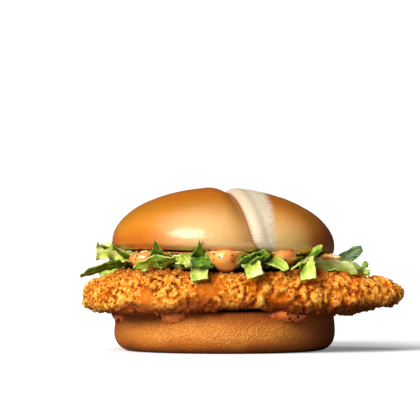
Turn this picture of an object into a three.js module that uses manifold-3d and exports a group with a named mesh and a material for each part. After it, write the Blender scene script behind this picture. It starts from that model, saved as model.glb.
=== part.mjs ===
// A crispy chicken burger in six layers: heel, lower sauce, breaded fillet, cut lettuce, upper sauce and
// crown. Millimetres, +Z up. The origin is the centre of the heel's flat base, -Y is the front and the
// fillet lies along X.
import * as THREE from "three";
import { mergeVertices } from "three/addons/utils/BufferGeometryUtils.js";
import Module from "manifold-3d";

const wasm = await Module();
wasm.setup();

const { degToRad, lerp, smoothstep } = THREE.MathUtils;

// Air between neighbouring layers, the air that two flat faces need, and the finest detail that a cut may
// leave.
const GAP = 0.35;
const FLAT_GAP = 0.4;
const FINEST = 0.1;

// The bun: a round heel and a domed crown, both cut level by the knife.
const BUN_RADIUS = 54.5;
const HEEL_HEIGHT = 20.5;
const HEEL_FOOT = 8.5;
const HEEL_CUT_EDGE = 2;
const HEEL_BELLY = 0.6;
const CROWN_RADIUS = 55.5;
const CROWN_SEAT = [-1.2, 0, 48.3];
const CROWN_LEAN = [-1.5, 2];
const CROWN_RIM = 5;
const CROWN_RISE = 28;
const CROWN_TUCK = 6.6;
const CROWN_FULLNESS = 1.93;
const CROWN_TUCK_FULLNESS = 4;
const CROWN_UNEVEN = 0.5;

// The crease where the crown's two lobes of dough meet: steep on the pale side, a round shoulder on the
// other.
const CREASE_DEPTH = 3.3;
const CREASE_SHOULDER = 10;
const CREASE_PALE_SIDE = 6;
const CREASE_TURN = 11;
const CREASE_TWIST = 5;
const CREASE_GATHER = 1.3;

// The fillet: a teardrop in plan, a pillow in section with rounder ends and a fuller lower edge, drooping
// where it passes the edge of the bun.
const FILLET_LENGTH = 157.5;
const FILLET_WIDTH = 111;
const FILLET_SHIFT = 9.6;
const FILLET_TAPER = 0.24;
const FILLET_MIDDLE = 31.5;
const FILLET_HALF_THICK = 9;
const FILLET_BULGE = 0.06;
const FILLET_FULLNESS = 7;
const FILLET_END_FULLNESS = 3.6;
const FILLET_THIN_END = 0.34;
const DROOP = 4.4;
const DROOP_FROM = 53.2;
const DROOP_SOFT = 4;
const DROOP_LEVEL = 380;

// The crumb of the crust: round clumps of many sizes all over, and a few large crags with a place of
// their own.
const CLUMP_COUNT = 190;
const CLUMP_REACH = [4.5, 9];
const CLUMP_HEIGHT = [0.5, 2.8];
const CRAGS = [
  { at: [78, -6, 34], reach: 6.5, height: 3.4 },
  { at: [57, -20, 38], reach: 9, height: 2.6 },
  { at: [38, -44, 37], reach: 8, height: 3 },
  { at: [-58, -16, 37], reach: 9, height: 2.6 },
  { at: [-30, -50, 35], reach: 9, height: 2.6 },
];
const HIGHEST_CRUMB = 3.4;
const PRESSED_RELIEF = 0.1;
const PRESSED_ABOVE = [49, 56];
const PRESSED_BELOW = [54.5, 59];
const GOLDEN_ANGLE = Math.PI * (3 - Math.sqrt(5));

// The sauces: a thin spread on each bread, with drips that hang out at its rim.
const LOWER_SPREAD = { radius: 49.5, thick: 0.9 };
const UPPER_SPREAD = { radius: 46, thick: 1.6 };
const SPREAD_FULLNESS = 6;
const SPREAD_LOBES = 5;
const SPREAD_LOBE_SHARE = 0.02;

// Each drip: its bearing round the bun in degrees, how far out and how high its middle is, and its half
// sizes along the rim, outwards and upwards.
const LOWER_DRIPS = [
  { bearing: -162, out: 51, height: 19.3, half: [7.5, 6.4, 4.3] },
  { bearing: -118, out: 51.6, height: 19.5, half: [7, 6.6, 4.4] },
  { bearing: -55, out: 51.6, height: 19.5, half: [11.6, 6.6, 4] },
  { bearing: 40, out: 51.2, height: 19.5, half: [9, 6, 3.2] },
  { bearing: 118, out: 51.2, height: 19.5, half: [11, 6, 3.2] },
];
const UPPER_DRIPS = [
  { bearing: -143, out: 47, height: 44.8, half: [9.5, 9, 5.2] },
  { bearing: -90, out: 47.5, height: 45.3, half: [8, 10, 6.2] },
  { bearing: -55, out: 47, height: 46.4, half: [8, 9, 4.6] },
  { bearing: -18, out: 47.5, height: 45.2, half: [6.5, 8.5, 3.2] },
  { bearing: 34, out: 47, height: 43.6, half: [8.5, 8, 4.4] },
  { bearing: 84, out: 47.5, height: 43.4, half: [9, 9, 4.8] },
  { bearing: 138, out: 47.5, height: 44.4, half: [7.5, 8, 4.6] },
];

// The lettuce: a flat heap under the crown, and the cut leaves that stick out of it.
const HEAP = { radius: 49.5, bottom: 41.2, fullness: 5, uneven: 1.2 };
const LEAF_THICK = 0.8;
const LEAF_STEPS = 4;
const LEAF_WIDE = 3.9;
const LEAF_RUFFLES = 2.5;
const RIB_SWELL = 3;
const REAR_LEAVES = 9;
const REAR_ARC = [8, 172];

// How a leaf's half width runs from its root to its tip.
const LEAF_FORMS = {
  blade: (along) => 0.3 + 0.7 * Math.sin(Math.PI * Math.min(1, 0.15 + 0.8 * along)),
  point: (along) => 1.02 - along,
  square: () => 1,
  spoon: (along) => 0.28 + 0.72 * smoothstep(along, 0.3, 0.75) * (1 - 0.55 * smoothstep(along, 0.85, 1)),
  horn: (along) => (1.02 - along) ** 1.5,
  rib: (along) => 1 - 0.25 * along,
};

// A leaf runs from a place in the heap to its free end. "half" is half its width and "roll" turns it
// about its length. "bow" lifts its middle, "swing" pushes its middle outwards and "ruffle" is the wave
// along its edges.
function leaf(form, from, to, half, roll, { bow = 0, swing = 0, ruffle = 0.3 } = {}) {
  return { form, from, to, half, roll, bow, swing, ruffle };
}

// The leaves of the front and sides, from left to right.
const FRONT_LEAVES = [
  leaf("blade", [-44, -14, 44.8], [-71, -24, 37.6], 2.4, 60, { bow: 1.3, ruffle: 0.4 }),
  leaf("square", [-44, -11.5, 46.4], [-64.1, -18, 50.1], 4, 75, { bow: 0.6, ruffle: 1.2 }),
  leaf("point", [-48, -12, 46], [-61.6, -19, 52.8], 3, 80, { ruffle: 0.2 }),
  leaf("horn", [-43, -17, 44.6], [-55.2, -27, 54.4], 2.2, 70, { swing: 3, ruffle: 0.2 }),
  leaf("blade", [-19, -41, 45.4], [-43.3, -40, 41.3], 3.2, 60, { bow: 1.2, swing: 6, ruffle: 1.2 }),
  leaf("point", [-30.3, -31, 46.3], [-34, -49, 54.8], 5.4, 0, { bow: -2.5 }),
  leaf("horn", [-13.6, -41, 46.4], [-12.3, -57.5, 55.9], 7.4, 0, { bow: -3 }),
  leaf("square", [-18.5, -41, 46.4], [-19.4, -59, 43.8], 2.9, -12, { bow: 2.2, ruffle: 0.4 }),
  leaf("square", [-13.1, -42, 44.9], [-12.3, -59.4, 36.4], 4.4, 20, { bow: 4 }),
  leaf("square", [-12.6, -42, 46.4], [-11.6, -60, 42.7], 4.8, 0, { bow: 2, ruffle: 0.6 }),
  leaf("blade", [20, -40, 47.3], [5.7, -57, 43.4], 2.7, 45, { bow: 2, swing: 4 }),
  leaf("square", [14.6, -42, 46.6], [20.2, -57, 49.6], 2.3, -52, { bow: -0.5, ruffle: 0.4 }),
  leaf("blade", [24.9, -37, 46.8], [12.4, -57, 44.6], 3, 50, { bow: 0.5, swing: 2, ruffle: 0.4 }),
  leaf("square", [8.4, -44, 45.9], [14.6, -59.4, 38], 4.2, 40, { bow: 4, ruffle: 0.2 }),
  leaf("blade", [18, -42, 45], [29.6, -55, 41], 3.4, 35, { bow: 2.5, ruffle: 0.2 }),
  leaf("rib", [36.9, -28, 45.8], [47.3, -38, 52], 2.2, 40, { ruffle: 0 }),
  leaf("blade", [41.5, -22, 44.7], [31.6, -52, 41.3], 1.6, 15, { bow: 2, swing: 3, ruffle: 0.2 }),
  leaf("square", [39.4, -24, 44.7], [40.3, -51.5, 36.7], 3.6, 18, { bow: 5, ruffle: 0.2 }),
  leaf("blade", [37, -28, 44.6], [62.5, -25, 39.1], 3.8, 60, { bow: 1.9, swing: 2, ruffle: 0.8 }),
  leaf("blade", [39, -24, 43], [62.2, -22, 38.1], 2, 40, { bow: 0.6 }),
  leaf("blade", [45, -6, 45.1], [67.4, -15, 40.9], 2.8, 45, { bow: 1.5, ruffle: 0.6 }),
  leaf("spoon", [45.6, -3, 45], [68.2, -10, 51.1], 3.4, 60, { bow: -2 }),
  leaf("rib", [45.4, -9, 44.1], [71.8, -12, 39.5], 1.5, 45, { bow: 0.2, ruffle: 0.2 }),
  leaf("spoon", [66.6, -11.2, 40.4], [70.8, -11.2, 44], 1.6, 70, { ruffle: 0.1 }),
];

// An even spread of numbers from 0 to 1, the same at every run.
const spread = (i, step) => (0.5 + i * step) % 1;

// A closed skin of shared vertices that holds nothing but positions.
function bare(geometry) {
  geometry.deleteAttribute("normal");
  geometry.deleteAttribute("uv");
  return mergeVertices(geometry, 1e-4);
}

// A cube's grid blown out to a ball, which has no poles, then carried point by point into a shape. A
// gather over 1 draws the grid's lines in towards x = 0.
function blown(segments, shape, gather = 1) {
  const skin = bare(new THREE.BoxGeometry(2, 2, 2, ...segments));
  const points = skin.attributes.position;
  const round = (a, b, c) => a * Math.sqrt(1 - (b * b + c * c) / 2 + (b * b * c * c) / 3);
  for (let i = 0; i < points.count; i += 1) {
    const { x: even, y, z } = new THREE.Vector3().fromBufferAttribute(points, i);
    const x = Math.sign(even) * Math.abs(even) ** gather;
    const way = new THREE.Vector3(round(x, y, z), round(y, z, x), round(z, x, y));
    points.setXYZ(i, ...shape(way.normalize()));
  }
  return skin;
}

// Where a direction meets a pillow of unit half sizes: how far out it is, and how high. Higher fullness
// is squarer.
function pillow(way, fullness) {
  const out = Math.hypot(way.x, way.y);
  const reach = (out ** fullness + Math.abs(way.z) ** fullness) ** (-1 / fullness);
  return { out: out * reach, up: way.z * reach };
}

function solidOf(geometry) {
  const { position } = geometry.attributes;
  const triVerts = new Uint32Array(geometry.index.array);
  return new wasm.Manifold(new wasm.Mesh({ numProp: 3, vertProperties: position.array, triVerts }));
}

// The skin of a solid's one large body, without detail too fine to see. Slivers that a cut has left
// beside it, or that hang on by less than a thousandth, are dropped.
function skinOf(solid, finest = FINEST) {
  let skin;
  let body = solid.simplify(finest);
  for (let pass = 0; pass < 2; pass += 1) {
    [body] = body.decompose().sort((a, b) => b.volume() - a.volume());
    const { vertProperties, triVerts } = body.getMesh();
    const loose = new THREE.BufferGeometry()
      .setAttribute("position", new THREE.BufferAttribute(vertProperties, 3))
      .setIndex(new THREE.BufferAttribute(triVerts, 1));
    skin = mergeVertices(loose, 1e-3);
    body = solidOf(skin);
  }
  return skin;
}

// The room that a placed mesh needs: its solid, grown outwards all over.
function roomFor(mesh, margin = GAP) {
  mesh.updateWorldMatrix(true, false);
  const grown = mesh.geometry.clone();
  grown.computeVertexNormals();
  const { position, normal } = grown.attributes;
  for (let i = 0; i < position.count; i += 1) {
    const point = new THREE.Vector3().fromBufferAttribute(position, i);
    point.addScaledVector(new THREE.Vector3().fromBufferAttribute(normal, i), margin);
    position.setXYZ(i, point.x, point.y, point.z);
  }
  return solidOf(grown.applyMatrix4(mesh.matrixWorld));
}

// The crossing of a ball shape with a knife plane: everything under the plane is cut away.
function cutLevel(geometry) {
  const depth = 2 * CROWN_TUCK;
  const below = bare(new THREE.BoxGeometry(4 * BUN_RADIUS, 4 * BUN_RADIUS, depth));
  below.translate(0, 0, -depth / 2);
  return skinOf(solidOf(geometry).subtract(solidOf(below)), FINEST / 10);
}

function named(name, geometry, color, roughness) {
  geometry.computeVertexNormals();
  const mesh = new THREE.Mesh(geometry, new THREE.MeshStandardMaterial({ color, roughness, metalness: 0 }));
  mesh.name = name;
  return mesh;
}

// The height of the crown's cut face, which leans, over a place on the plate.
const cutFacing = new THREE.Vector3(0, 0, 1).applyEuler(new THREE.Euler(...CROWN_LEAN.map(degToRad), 0));
function cutHeight(x, y) {
  const fall = cutFacing.x * (x - CROWN_SEAT[0]) + cutFacing.y * (y - CROWN_SEAT[1]);
  return CROWN_SEAT[2] - fall / cutFacing.z;
}

// The heel: a round foot, nearly upright sides and a knife-cut top.
function heelSkin() {
  const outline = new THREE.Path();
  outline.moveTo(0, 0);
  outline.lineTo(BUN_RADIUS - HEEL_FOOT, 0);
  outline.bezierCurveTo(
    BUN_RADIUS - HEEL_FOOT * 0.4, 0,
    BUN_RADIUS + HEEL_BELLY, HEEL_FOOT * 0.35,
    BUN_RADIUS + HEEL_BELLY, HEEL_FOOT * 1.2,
  );
  outline.lineTo(BUN_RADIUS, HEEL_HEIGHT - HEEL_CUT_EDGE);
  outline.quadraticCurveTo(BUN_RADIUS, HEEL_HEIGHT, BUN_RADIUS - HEEL_CUT_EDGE, HEEL_HEIGHT);
  outline.lineTo(0, HEEL_HEIGHT);
  return bare(new THREE.LatheGeometry(outline.getPoints(4), 46).rotateX(Math.PI / 2));
}

// How far the crown's skin sinks at a distance across the crease.
function creaseSink(across) {
  const width = across < 0 ? CREASE_SHOULDER : CREASE_PALE_SIDE;
  return CREASE_DEPTH * Math.max(0, 1 - Math.abs(across) / width) ** 2;
}

// A point of the crown, above its cut face. The crease lies where the direction's x is 0, and is then
// turned.
function crownPoint(way) {
  const upper = way.z >= 0;
  const fullness = upper ? CROWN_FULLNESS : CROWN_TUCK_FULLNESS;
  const { out, up } = pillow(way, fullness);
  const polar = Math.acos(way.z) / (Math.PI / 2);
  const bearing = Math.atan2(way.y, way.x) + degToRad(CREASE_TURN + CREASE_TWIST * polar ** 2);
  const lumps = CROWN_UNEVEN * Math.sin(3 * bearing + 1) * out;
  const sink = creaseSink(way.x * CROWN_RADIUS) - lumps;
  const slope = new THREE.Vector2(out * CROWN_RISE, upper ? up * CROWN_RADIUS : 0).normalize();
  const radius = out * CROWN_RADIUS - sink * slope.x;
  const height = CROWN_RIM + up * (upper ? CROWN_RISE : CROWN_TUCK) - sink * slope.y;
  return [radius * Math.cos(bearing), radius * Math.sin(bearing), height];
}

// A point of the fillet, with its crust swollen outwards by so much.
function filletPoint(way, swell = 0) {
  const bearing = Math.atan2(way.y, way.x);
  const endness = smoothstep(Math.abs(Math.cos(bearing)), 0.75, 1);
  const { out, up } = pillow(way, lerp(FILLET_FULLNESS, FILLET_END_FULLNESS, endness));
  const taper = 1 - FILLET_TAPER * Math.cos(bearing);
  const x = FILLET_SHIFT + out * (FILLET_LENGTH / 2 + swell) * Math.cos(bearing);
  const y = out * (FILLET_WIDTH / 2 + swell) * Math.sin(bearing) * taper * (1 - FILLET_BULGE * up);
  const thick = FILLET_HALF_THICK * (1 - FILLET_THIN_END * smoothstep(x, 45, 88));
  const beyond = Math.max(0, Math.hypot(x, y) - DROOP_FROM);
  const droop = DROOP * (1 - Math.exp(-beyond / DROOP_SOFT)) * (1 - x / DROOP_LEVEL);
  return [x, y, FILLET_MIDDLE - droop + up * (thick + swell)];
}

// Clumps of crumb, spread evenly over the directions of a ball, each round and of its own size.
const CLUMPS = Array.from({ length: CLUMP_COUNT }, (_, i) => {
  const z = 1 - (2 * (i + 0.5)) / CLUMP_COUNT;
  const around = i * GOLDEN_ANGLE;
  const level = Math.sqrt(1 - z * z);
  return {
    at: filletPoint({ x: level * Math.cos(around), y: level * Math.sin(around), z }),
    reach: lerp(...CLUMP_REACH, spread(i, 0.5497)),
    height: lerp(...CLUMP_HEIGHT, spread(i, 0.7549)),
  };
});

// How free the crust is at a place: under the heap and over the bread it is pressed flat.
function freedom(way, [x, y]) {
  const free = smoothstep(Math.hypot(x, y), ...(way.z < 0 ? PRESSED_BELOW : PRESSED_ABOVE));
  return lerp(PRESSED_RELIEF, 1, free);
}

// The fillet with its crumb, or the room that it needs, which passes over the highest crumb.
function filletSkin(room = 0) {
  return blown([26, 16, 4], (way) => {
    const base = filletPoint(way);
    const at = new THREE.Vector3(...base);
    const heights = [...CLUMPS, ...CRAGS].map((clump) => {
      const near = 1 - at.distanceToSquared(new THREE.Vector3(...clump.at)) / clump.reach ** 2;
      return near > 0 ? clump.height * Math.sqrt(near) : 0;
    });
    const relief = room ? HIGHEST_CRUMB : Math.max(...heights);
    return filletPoint(way, relief * freedom(way, base) + room);
  });
}

// A thin spread of sauce with a lobed outline, laid on a face whose height is known everywhere.
function spreadSkin({ radius, thick }, faceHeight, room = 0) {
  return blown([8, 8, 2], (way) => {
    const { out, up } = pillow(way, SPREAD_FULLNESS);
    const bearing = Math.atan2(way.y, way.x);
    const reach = out * (radius + room) * (1 + SPREAD_LOBE_SHARE * Math.sin(SPREAD_LOBES * bearing));
    const x = reach * Math.cos(bearing);
    const y = reach * Math.sin(bearing);
    return [x, y, faceHeight(x, y) + thick / 2 + (thick / 2 + room) * up];
  });
}

// One drip: a heavy drop, fuller below than above.
function dripSkin({ bearing, out, height, half: [along, outward, up] }, room = 0) {
  const turn = degToRad(bearing);
  const fine = up > 5 ? 4 : 3;
  return blown([fine, fine, fine], (way) => {
    const narrow = 1 - 0.16 * way.z;
    const ahead = way.y * (along + room) * narrow;
    const away = out + way.x * (outward + room) * narrow;
    const x = away * Math.cos(turn) - ahead * Math.sin(turn);
    const y = away * Math.sin(turn) + ahead * Math.cos(turn);
    return [x, y, height + way.z * (up + room)];
  });
}

const joined = (solids) => solids.reduce((whole, one) => whole.add(one));

// A point of a leaf: along its length, across its width, and off its middle face.
function leafPoint(leaf, along, across, off) {
  const from = new THREE.Vector3(...leaf.from);
  const to = new THREE.Vector3(...leaf.to);
  const middle = from.clone().lerp(to, 0.5);
  const outwards = new THREE.Vector3(middle.x, middle.y, 0).setLength(leaf.swing);
  middle.addScaledVector(outwards, 2).setZ(middle.z + 2 * leaf.bow);
  const spine = new THREE.QuadraticBezierCurve3(from, middle, to);
  const ahead = spine.getTangent(along);
  const side = new THREE.Vector3(-ahead.y, ahead.x, 0).normalize();
  side.applyAxisAngle(ahead, degToRad(leaf.roll));
  const face = ahead.clone().cross(side);
  const half = leaf.half * LEAF_FORMS[leaf.form](along);
  const wave = leaf.ruffle * across ** 2 * Math.sin(2 * Math.PI * LEAF_RUFFLES * along + across);
  return spine.getPoint(along).addScaledVector(side, across * half).addScaledVector(face, wave + off);
}

// A leaf as a closed thin solid. Both faces are split into triangles alike, and a strip closes the rim.
function leafSkin(leaf) {
  const spans = leaf.half > LEAF_WIDE ? 2 : 1;
  const sheet = new THREE.PlaneGeometry(1, 2, LEAF_STEPS, spans);
  const flat = sheet.attributes.position;
  const faces = sheet.index.array;
  const count = flat.count;
  const thick = LEAF_THICK * (leaf.form === "rib" ? RIB_SWELL : 1);
  const points = [-1, 1].flatMap((way) =>
    Array.from({ length: count }, (_, i) =>
      leafPoint(leaf, flat.getX(i) + 0.5, flat.getY(i), (way * thick) / 2).toArray(),
    ),
  );
  const index = [];
  for (let i = 0; i < faces.length; i += 3) {
    const [a, b, c] = faces.slice(i, i + 3);
    index.push(a, c, b, a + count, b + count, c + count);
  }
  const row = LEAF_STEPS + 1;
  const rim = [
    ...Array.from({ length: LEAF_STEPS }, (_, i) => i),
    ...Array.from({ length: spans }, (_, i) => LEAF_STEPS + i * row),
    ...Array.from({ length: LEAF_STEPS }, (_, i) => count - 1 - i),
    ...Array.from({ length: spans }, (_, i) => count - row - i * row),
  ];
  rim.forEach((a, i) => {
    const b = rim[(i + 1) % rim.length];
    index.push(b, a, a + count, b, a + count, b + count);
  });
  return new THREE.BufferGeometry()
    .setAttribute("position", new THREE.Float32BufferAttribute(points.flat(), 3))
    .setIndex(index);
}

// The leaves round the back, which differ from each other by an even spread of sizes, lifts and rolls.
const REAR = Array.from({ length: REAR_LEAVES }, (_, i) => {
  const bearing = degToRad(lerp(...REAR_ARC, (i + 0.5) / REAR_LEAVES));
  const away = bearing + lerp(-0.3, 0.3, spread(i, 0.6711));
  const inner = 40;
  const outer = lerp(57, 67, spread(i, 0.7549));
  const form = ["blade", "square", "blade", "point"][i % 4];
  const from = [inner * Math.cos(bearing), inner * Math.sin(bearing), lerp(43, 45, spread(i, 0.5497))];
  const to = [outer * Math.cos(away), outer * Math.sin(away), lerp(37, 44.5, spread(i, 0.8192))];
  const half = lerp(2.2, 5, spread(i, 0.4302));
  const roll = lerp(-45, 45, spread(i, 0.5698));
  const bow = lerp(0.5, 3.5, spread(i, 0.618));
  const ruffle = lerp(0.3, 1.2, spread(i, 0.3247));
  return leaf(form, from, to, half, roll, { bow, ruffle });
});

// The heap that fills the space between fillet and crown.
function heapSkin() {
  return blown([9, 9, 2], (way) => {
    const { out, up } = pillow(way, HEAP.fullness);
    const bearing = Math.atan2(way.y, way.x);
    const reach = out * (HEAP.radius + HEAP.uneven * Math.sin(9 * bearing) * Math.cos(4 * bearing));
    const x = reach * Math.cos(bearing);
    const y = reach * Math.sin(bearing);
    return [x, y, lerp(HEAP.bottom, cutHeight(x, y) - FLAT_GAP, (1 + up) / 2)];
  });
}

const burger = new THREE.Group();

const heel = named("heel", heelSkin(), 0xd18a45, 0.75);
const fillet = named("fillet", filletSkin(), 0xd98a2b, 0.6);
const crown = named("crown", cutLevel(blown([20, 16, 7], crownPoint, CREASE_GATHER)), 0xe0983f, 0.35);
crown.position.set(...CROWN_SEAT);
crown.rotation.set(...CROWN_LEAN.map(degToRad), 0);
burger.add(heel, fillet, crown);

const filletRoom = solidOf(filletSkin(GAP));
const crownRoom = roomFor(crown);

const lowerSauce = [
  spreadSkin(LOWER_SPREAD, () => HEEL_HEIGHT + FLAT_GAP),
  ...LOWER_DRIPS.map((drip) => dripSkin(drip)),
];
const lowerSolid = joined(lowerSauce.map(solidOf)).subtract(roomFor(heel)).subtract(filletRoom);
burger.add(named("sauce_lower", skinOf(lowerSolid), 0xe8813f, 0.3));

const upperSauce = (room) => [
  spreadSkin(UPPER_SPREAD, (x, y) => cutHeight(x, y) - FLAT_GAP - UPPER_SPREAD.thick, room),
  ...UPPER_DRIPS.map((drip) => dripSkin(drip, room)),
];
const upperSolid = joined(upperSauce(0).map(solidOf)).subtract(crownRoom).subtract(filletRoom);
burger.add(named("sauce_upper", skinOf(upperSolid), 0xf08a45, 0.3));

const leaves = [...FRONT_LEAVES, ...REAR].map(leafSkin);
const lettuce = joined([heapSkin(), ...leaves].map(solidOf))
  .subtract(filletRoom)
  .subtract(crownRoom)
  .subtract(joined(upperSauce(GAP + FINEST).map(solidOf)));
burger.add(named("lettuce", skinOf(lettuce), 0x8fae3c, 0.5));

export default burger;
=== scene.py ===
# %% [markdown]
# # A crispy chicken burger
# A burger is a stack. From the plate up this one is a heel of bread, a thin sauce, a breaded chicken fillet
# that is wider than the bread, a heap of cut lettuce, a thicker sauce and a domed crown.
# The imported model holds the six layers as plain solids. It could be dressed with materials alone, but crumb,
# leaves and sauce are seen by their shapes, so each layer is modelled again here over its own solid.
# The frame comes first, since every layer has to stay inside it.

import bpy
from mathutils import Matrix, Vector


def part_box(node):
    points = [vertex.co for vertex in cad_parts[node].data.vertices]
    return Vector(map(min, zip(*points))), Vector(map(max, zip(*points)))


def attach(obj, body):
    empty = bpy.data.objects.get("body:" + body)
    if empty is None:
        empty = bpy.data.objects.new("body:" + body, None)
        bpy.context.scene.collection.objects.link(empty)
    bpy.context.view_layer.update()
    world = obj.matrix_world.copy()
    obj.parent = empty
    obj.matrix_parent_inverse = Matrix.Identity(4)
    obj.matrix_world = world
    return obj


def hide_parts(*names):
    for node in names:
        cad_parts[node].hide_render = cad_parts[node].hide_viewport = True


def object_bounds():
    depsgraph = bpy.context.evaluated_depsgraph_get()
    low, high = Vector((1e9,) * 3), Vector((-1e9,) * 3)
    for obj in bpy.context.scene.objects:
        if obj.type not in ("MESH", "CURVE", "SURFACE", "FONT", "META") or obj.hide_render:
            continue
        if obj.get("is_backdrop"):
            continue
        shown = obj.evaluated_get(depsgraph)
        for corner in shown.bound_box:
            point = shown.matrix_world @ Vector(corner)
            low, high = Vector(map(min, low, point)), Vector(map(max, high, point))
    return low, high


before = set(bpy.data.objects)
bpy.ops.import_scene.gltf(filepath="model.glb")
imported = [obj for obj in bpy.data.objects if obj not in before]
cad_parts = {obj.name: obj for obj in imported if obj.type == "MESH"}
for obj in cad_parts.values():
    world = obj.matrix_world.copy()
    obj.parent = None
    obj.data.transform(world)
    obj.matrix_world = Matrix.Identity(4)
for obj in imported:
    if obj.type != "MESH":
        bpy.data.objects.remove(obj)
cad_low, cad_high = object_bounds()
print("frame from", [round(x, 4) for x in cad_low], "to", [round(x, 4) for x in cad_high])

# %% [markdown]
# ## Units and small tools
# Blender measures in metres, and a burger is easier to think of in millimetres. Every layer is therefore
# modelled in millimetres and brought to metres once, when its mesh is finished.
# numpy moves all points of a mesh in one step, where a loop over a hundred thousand points would be slow.

# %% Units and point tools
import math

import bmesh
import bpy
import numpy as np
from mathutils import Euler, Matrix, Vector, geometry, noise

MM = 0.001


def mm(*lengths):
    """Lengths in millimetres, brought to metres."""
    return [length * MM for length in lengths]


def smooth_step(x, low, high):
    share = np.clip((x - low) / (high - low), 0, 1)
    return share * share * (3 - 2 * share)


def lerp(a, b, share):
    return a + (b - a) * share


def points_of(bm):
    return np.array([vert.co for vert in bm.verts])


def move_to(bm, points):
    for vert, point in zip(bm.verts, points):
        vert.co = point


def mark_points(bm, marks):
    """Keeps numbers on the points, which a material can read by their names."""
    layers = {name: bm.verts.layers.float.new(name) for name in marks}
    for name, values in marks.items():
        for vert, value in zip(bm.verts, values):
            vert[layers[name]] = value


def uneven(points, size, octaves=2, away=0.0):
    """Soft noise of about -1 to 1 at each point, whose lumps measure about size."""
    shift = Vector((away, 1.7 * away, -away))
    return np.array([noise.fractal(Vector(p) / size + shift, 1.0, 2.0, octaves) for p in points])


def in_mm(node):
    """The lowest and highest corner of a layer of the frame, in millimetres."""
    low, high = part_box(node)
    return np.array(low) / MM, np.array(high) / MM


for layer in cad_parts:
    low, high = in_mm(layer)
    print(layer, "from", low.round(1), "to", high.round(1))

# %% [markdown]
# ## A ball without poles
# Dough, chicken and sauce are all rounded lumps. A UV sphere pinches its faces together at two poles, and
# a glossy crust shows that as a star. A cube that is cut into a fine grid and blown out to a ball has even
# faces all over, so it is the start of most layers here.

# %% Ball grid and pillow shapes


def ball(*cuts):
    """A cube's grid, cut once for each number, blown out to a ball of radius 1."""
    bm = bmesh.new()
    bmesh.ops.create_cube(bm, size=2)
    for count in cuts:
        bmesh.ops.subdivide_edges(bm, edges=bm.edges, cuts=count, use_grid_fill=True)
    cube = points_of(bm)
    squares = cube**2
    second = np.roll(squares, -1, axis=1)
    third = np.roll(squares, -2, axis=1)
    ways = cube * np.sqrt(1 - (second + third) / 2 + second * third / 3)
    move_to(bm, ways / np.linalg.norm(ways, axis=1, keepdims=True))
    return bm


def pillow(ways, fullness):
    """How far out and how high a pillow of unit half sizes reaches in each direction."""
    out = np.hypot(ways[:, 0], ways[:, 1])
    height = ways[:, 2]
    reach = (out**fullness + np.abs(height) ** fullness) ** (-1 / fullness)
    return out * reach, height * reach


def finished(name, mesh, node=None):
    """Shows a mesh modelled in millimetres as a piece of the burger, smooth shaded and in metres."""
    mesh.name = name
    mesh.transform(Matrix.Scale(MM, 4))
    mesh.shade_smooth()
    piece = bpy.data.objects.new(name, mesh)
    bpy.context.scene.collection.objects.link(piece)
    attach(piece, "root")
    if node:
        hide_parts(node)
    print(name, "has", sum(len(face.vertices) - 2 for face in mesh.polygons), "triangles")
    return piece


def mesh_of(bm, name):
    mesh = bpy.data.meshes.new(name)
    bm.to_mesh(mesh)
    bm.free()
    return mesh


# %% [markdown]
# ## Nodes without clutter
# A material is a small network of nodes. Writing each socket by hand makes long scripts, so one small class
# adds a node, sets its sockets and joins them. Colours are measured in the usual 0 to 255 values, which are
# gamma coded, while Blender's sockets are linear, so a helper converts them.

# %% Node tools


def paint(red, green, blue):
    """A measured 0 to 255 colour as Blender's linear colour."""
    coded = np.array([red, green, blue]) / 255
    linear = np.where(coded <= 0.04045, coded / 12.92, ((coded + 0.055) / 1.055) ** 2.4)
    return (*linear.tolist(), 1.0)


class Network:
    """The nodes of one material or of one shared group."""

    def __init__(self, tree):
        self.tree = tree

    def add(self, kind, sockets=None, **settings):
        node = self.tree.nodes.new(kind)
        for name, value in settings.items():
            setattr(node, name, value)
        for name, value in (sockets or {}).items():
            self.feed(node.inputs[name], value)
        return node

    def feed(self, socket, value):
        if isinstance(value, bpy.types.NodeSocket):
            self.tree.links.new(value, socket)
        else:
            socket.default_value = value

    def ramp(self, share, *stops):
        """Colours along a value, each stop a place and a measured 0 to 255 colour."""
        node = self.add("ShaderNodeValToRGB", {"Fac": share})
        elements = node.color_ramp.elements
        while len(elements) < len(stops):
            elements.new(0.5)
        for element, (place, colour) in zip(elements, stops):
            element.position = place
            element.color = paint(*colour)
        return node.outputs["Color"]

    def mixed(self, share, first, second, blend="MIX"):
        node = self.add("ShaderNodeMix", data_type="RGBA", blend_type=blend)
        self.feed(node.inputs[0], share)
        self.feed(node.inputs[6], first)
        self.feed(node.inputs[7], second)
        return node.outputs[2]

    def ranged(self, value, low, high, to_low=0.0, to_high=1.0):
        """A value taken smoothly from one range to another."""
        sockets = {"Value": value, "From Min": low, "From Max": high, "To Min": to_low, "To Max": to_high}
        return self.add("ShaderNodeMapRange", sockets, interpolation_type="SMOOTHSTEP").outputs["Result"]

    def maths(self, operation, *values):
        node = self.add("ShaderNodeMath", operation=operation)
        for socket, value in zip(node.inputs, values):
            self.feed(socket, value)
        return node.outputs["Value"]

    def mark(self, name):
        """A number that the mesh carries at each point."""
        return self.add("ShaderNodeAttribute", attribute_name=name).outputs["Fac"]

    def place(self):
        """The place on the piece, in metres."""
        return self.add("ShaderNodeTexCoord").outputs["Object"]

    def axes(self):
        """The place on the piece, split into X, Y and Z."""
        return self.add("ShaderNodeSeparateXYZ", {"Vector": self.place()}).outputs

    def near(self, spot, core, reach, share):
        """A mask that is share within core of a spot and 0 past reach. Lengths are in millimetres."""
        sockets = {0: self.place(), 1: Vector(spot) * MM}
        away = self.add("ShaderNodeVectorMath", sockets, operation="DISTANCE").outputs["Value"]
        return self.ranged(away, core * MM, reach * MM, share, 0.0)


def new_material(name):
    material = bpy.data.materials.new(name)
    material.use_nodes = True
    return material, Network(material.node_tree), material.node_tree.nodes["Principled BSDF"]


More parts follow.
